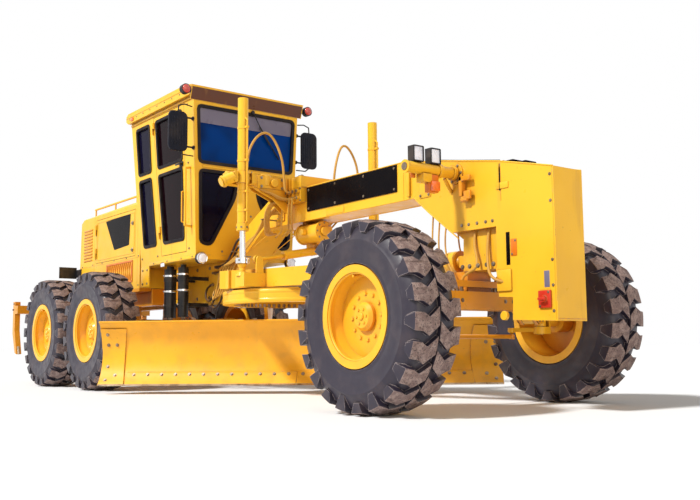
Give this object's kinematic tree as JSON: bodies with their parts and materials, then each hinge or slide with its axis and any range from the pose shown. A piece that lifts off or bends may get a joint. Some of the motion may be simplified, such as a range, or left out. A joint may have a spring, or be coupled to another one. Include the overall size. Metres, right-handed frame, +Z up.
{
  "type": "motor grader",
  "caption": "Articulated motor grader with a turning, tipping and sliding blade under its boom, leaning front wheels, cab with doors, tandem rear wheels and a rear ripper.",
  "frame": {"origin": "on the ground under the middle of the machine's length and width, blade included, 182 mm left of its middle plane", "axes": "+X forward, +Y to the machine's left, +Z up"},
  "size_m": [9.41, 3.2111, 3.3518],
  "materials": {
    "machine_yellow": "semi-gloss machine paint",
    "black_paint": "satin black paint",
    "cab_glass": "clear, lightly tinted",
    "seat_fabric": "woven, matt",
    "console_plastic": "moulded, matt",
    "lamp_case": "moulded case, pale lens",
    "mirror_case": "moulded case, glass at its back",
    "linkage_steel": "turned steel, oiled",
    "cylinder_rod": "polished hard chrome",
    "engine_iron": "dark cast iron",
    "exhaust_steel": "heat-darkened steel",
    "tyre": "worn black rubber",
    "hose_rubber": "black hose"
  },
  "bodies": {
    "rear_body": {"rear_frame": "machine_yellow", "engine_block": "engine_iron", "hood": "machine_yellow", "radiator_grille": "black_paint", "rear_axle": "machine_yellow", "tandem_cases": "machine_yellow", "exhaust": "exhaust_steel", "rear_lamps": "lamp_case"},
    "front_body": {"front_frame": "machine_yellow", "boom_panels": "black_paint", "lift_saddle": "machine_yellow", "cab_shell": "machine_yellow", "cab_glass": "cab_glass", "cab_platform": "machine_yellow", "cab_roof": "machine_yellow", "cab_seat": "seat_fabric", "cab_console": "console_plastic", "front_axle": "machine_yellow", "lamp_arm": "machine_yellow", "work_lamps": "lamp_case", "mirrors": "mirror_case", "accumulators": "black_paint", "hoses": "hose_rubber"},
    "hood_door_right": {"hood_door_right": "machine_yellow"},
    "hood_door_left": {"hood_door_left": "machine_yellow"},
    "cab_door_right": {"door_right": "machine_yellow", "door_glass_right": "cab_glass"},
    "cab_door_left": {"door_left": "machine_yellow", "door_glass_left": "cab_glass"},
    "lean_right": {"lean_knuckle_right": "machine_yellow"},
    "lean_left": {"lean_knuckle_left": "machine_yellow"},
    "lean_bar": {"lean_bar": "machine_yellow"},
    "steer_right": {"steering_knuckle_right": "machine_yellow"},
    "steer_left": {"steering_knuckle_left": "machine_yellow"},
    "tie_rod": {"tie_rod": "linkage_steel"},
    "drawbar": {"drawbar": "machine_yellow"},
    "circle": {"circle": "machine_yellow"},
    "brackets": {"blade_brackets": "machine_yellow"},
    "blade": {"blade": "machine_yellow", "blade_shift_rod": "cylinder_rod"},
    "lift_barrel_right": {"lift_barrel_right": "machine_yellow"},
    "lift_barrel_left": {"lift_barrel_left": "machine_yellow"},
    "lift_rod_right": {"lift_rod_right": "cylinder_rod"},
    "lift_rod_left": {"lift_rod_left": "cylinder_rod"},
    "shift_cylinder": {"shift_cylinder": "machine_yellow"},
    "ripper": {"ripper": "machine_yellow"},
    "ripper_barrel": {"ripper_barrel": "machine_yellow"},
    "ripper_rod": {"ripper_rod": "cylinder_rod"},
    "wheel_front_right": {"tyre_front_right": "tyre", "rim_front_right": "machine_yellow"},
    "wheel_front_left": {"tyre_front_left": "tyre", "rim_front_left": "machine_yellow"},
    "wheel_tandem_right_fore": {"tyre_tandem_right_fore": "tyre", "rim_tandem_right_fore": "machine_yellow"},
    "wheel_tandem_right_aft": {"tyre_tandem_right_aft": "tyre", "rim_tandem_right_aft": "machine_yellow"},
    "wheel_tandem_left_fore": {"tyre_tandem_left_fore": "tyre", "rim_tandem_left_fore": "machine_yellow"},
    "wheel_tandem_left_aft": {"tyre_tandem_left_aft": "tyre", "rim_tandem_left_aft": "machine_yellow"}
  },
  "joints": [
    {"name": "articulation", "type": "hinge", "parent": "rear_body", "child": "front_body", "pos_m": [-1.3, -0.182, 1.22], "axis": [0, 0, 1], "range_deg": [-20, 20]},
    {"name": "lean_right", "type": "hinge", "parent": "front_body", "child": "lean_right", "pos_m": [3.76, -0.822, 0.7], "axis": [-1, 0, 0], "range_deg": [-18, 18]},
    {"name": "lean_left", "type": "hinge", "parent": "front_body", "child": "lean_left", "pos_m": [3.76, 0.458, 0.7], "axis": [-1, 0, 0], "range_deg": [-18, 18]},
    {"name": "lean_bar_swing", "type": "hinge", "parent": "lean_right", "child": "lean_bar", "pos_m": [3.831, -0.822, 0.96], "axis": [-1, 0, 0], "range_deg": [-18, 18]},
    {"name": "steer_right", "type": "hinge", "parent": "lean_right", "child": "steer_right", "pos_m": [3.76, -0.942, 0.7], "axis": [0, 0, 1], "range_deg": [-50, 50]},
    {"name": "steer_left", "type": "hinge", "parent": "lean_left", "child": "steer_left", "pos_m": [3.76, 0.578, 0.7], "axis": [0, 0, 1], "range_deg": [-50, 50]},
    {"name": "tie_rod_shift", "type": "slide", "parent": "front_body", "child": "tie_rod", "axis": [0, 1, 0], "range_m": [-0.17, 0.17]},
    {"name": "roll_front_right", "type": "hinge", "parent": "steer_right", "child": "wheel_front_right", "pos_m": [3.76, -1.2195, 0.694], "axis": [0, 1, 0], "continuous": true},
    {"name": "roll_front_left", "type": "hinge", "parent": "steer_left", "child": "wheel_front_left", "pos_m": [3.76, 0.8555, 0.694], "axis": [0, 1, 0], "continuous": true},
    {"name": "roll_tandem_right_fore", "type": "hinge", "parent": "rear_body", "child": "wheel_tandem_right_fore", "pos_m": [-1.398, -1.197, 0.694], "axis": [0, 1, 0], "continuous": true},
    {"name": "roll_tandem_right_aft", "type": "hinge", "parent": "rear_body", "child": "wheel_tandem_right_aft", "pos_m": [-2.922, -1.197, 0.694], "axis": [0, 1, 0], "continuous": true},
    {"name": "roll_tandem_left_fore", "type": "hinge", "parent": "rear_body", "child": "wheel_tandem_left_fore", "pos_m": [-1.398, 0.833, 0.694], "axis": [0, 1, 0], "continuous": true},
    {"name": "roll_tandem_left_aft", "type": "hinge", "parent": "rear_body", "child": "wheel_tandem_left_aft", "pos_m": [-2.922, 0.833, 0.694], "axis": [0, 1, 0], "continuous": true},
    {"name": "drawbar_lift", "type": "hinge", "parent": "front_body", "child": "drawbar", "pos_m": [3.59, -0.182, 1.15], "axis": [0, 1, 0], "range_deg": [-1.15, 7]},
    {"name": "lift_swing_right", "type": "hinge", "parent": "front_body", "child": "lift_barrel_right", "pos_m": [1.51, -0.982, 2.09], "axis": [0, 1, 0], "range_deg": [-3, 1]},
    {"name": "lift_stroke_right", "type": "slide", "parent": "lift_barrel_right", "child": "lift_rod_right", "axis": [0, 0, 1], "range_m": [-0.05, 0.26]},
    {"name": "lift_swing_left", "type": "hinge", "parent": "front_body", "child": "lift_barrel_left", "pos_m": [1.51, 0.618, 2.09], "axis": [0, 1, 0], "range_deg": [-3, 1]},
    {"name": "lift_stroke_left", "type": "slide", "parent": "lift_barrel_left", "child": "lift_rod_left", "axis": [0, 0, 1], "range_m": [-0.05, 0.26]},
    {"name": "shift_swing", "type": "hinge", "parent": "front_body", "child": "shift_cylinder", "pos_m": [1.556, -0.132, 1.44], "axis": [-1, 0, 0], "range_deg": [-4, 20]},
    {"name": "circle_turn", "type": "hinge", "parent": "drawbar", "child": "circle", "pos_m": [1.28, -0.182, 0.97], "axis": [0, 0, -1], "range_deg": [-90, 5]},
    {"name": "blade_tip", "type": "hinge", "parent": "circle", "child": "brackets", "pos_m": [0.93478, 0.14618, 0.3], "axis": [0.689, 0.7248, 0], "range_deg": [-5, 40]},
    {"name": "blade_shift", "type": "slide", "parent": "brackets", "child": "blade", "axis": [0.689, 0.7248, 0], "range_m": [-0.5, 0.5]},
    {"name": "cab_door_right_open", "type": "hinge", "parent": "front_body", "child": "cab_door_right", "pos_m": [-0.6765, -0.84591, 2.3525], "axis": [0.0991, 0.0343, -0.9945], "range_deg": [0, 95]},
    {"name": "cab_door_left_open", "type": "hinge", "parent": "front_body", "child": "cab_door_left", "pos_m": [-0.6765, 0.48191, 2.3525], "axis": [-0.0991, 0.0343, 0.9945], "range_deg": [0, 95]},
    {"name": "hood_door_right_open", "type": "hinge", "parent": "rear_body", "child": "hood_door_right", "pos_m": [-2.92, -0.686, 1.93], "axis": [0, 0, -1], "range_deg": [0, 90]},
    {"name": "hood_door_left_open", "type": "hinge", "parent": "rear_body", "child": "hood_door_left", "pos_m": [-2.92, 0.322, 1.93], "axis": [0, 0, 1], "range_deg": [0, 90]},
    {"name": "ripper_lower", "type": "hinge", "parent": "rear_body", "child": "ripper", "pos_m": [-3.76, -0.182, 0.9], "axis": [0, -1, 0], "range_deg": [0, 22]},
    {"name": "ripper_cylinder_swing", "type": "hinge", "parent": "rear_body", "child": "ripper_barrel", "pos_m": [-4.02, -0.182, 1.35], "axis": [0, -1, 0], "range_deg": [-1, 22]},
    {"name": "ripper_stroke", "type": "slide", "parent": "ripper_barrel", "child": "ripper_rod", "axis": [-0.9243, 0, -0.3817], "range_m": [-0.01, 0.2]}
  ],
  "couplings": [
    {"joint": "lean_left", "follows": "lean_right", "ratio": 1},
    {"joint": "lean_bar_swing", "follows": "lean_right", "ratio": -1},
    {"joint": "steer_left", "follows": "steer_right", "ratio": 1},
    {"joint": "tie_rod_shift", "follows": "steer_right", "m_per_rad": -0.19},
    {"joint": "lift_swing_right", "follows": "drawbar_lift", "ratio": -0.36},
    {"joint": "lift_swing_left", "follows": "drawbar_lift", "ratio": -0.36},
    {"joint": "lift_stroke_right", "follows": "drawbar_lift", "m_per_rad": 2.07},
    {"joint": "lift_stroke_left", "follows": "drawbar_lift", "m_per_rad": 2.07},
    {"joint": "shift_swing", "follows": "drawbar_lift", "ratio": 2.78},
    {"joint": "ripper_cylinder_swing", "follows": "ripper_lower", "ratio": 0.98},
    {"joint": "ripper_stroke", "follows": "ripper_lower", "m_per_rad": 0.516}
  ]
}
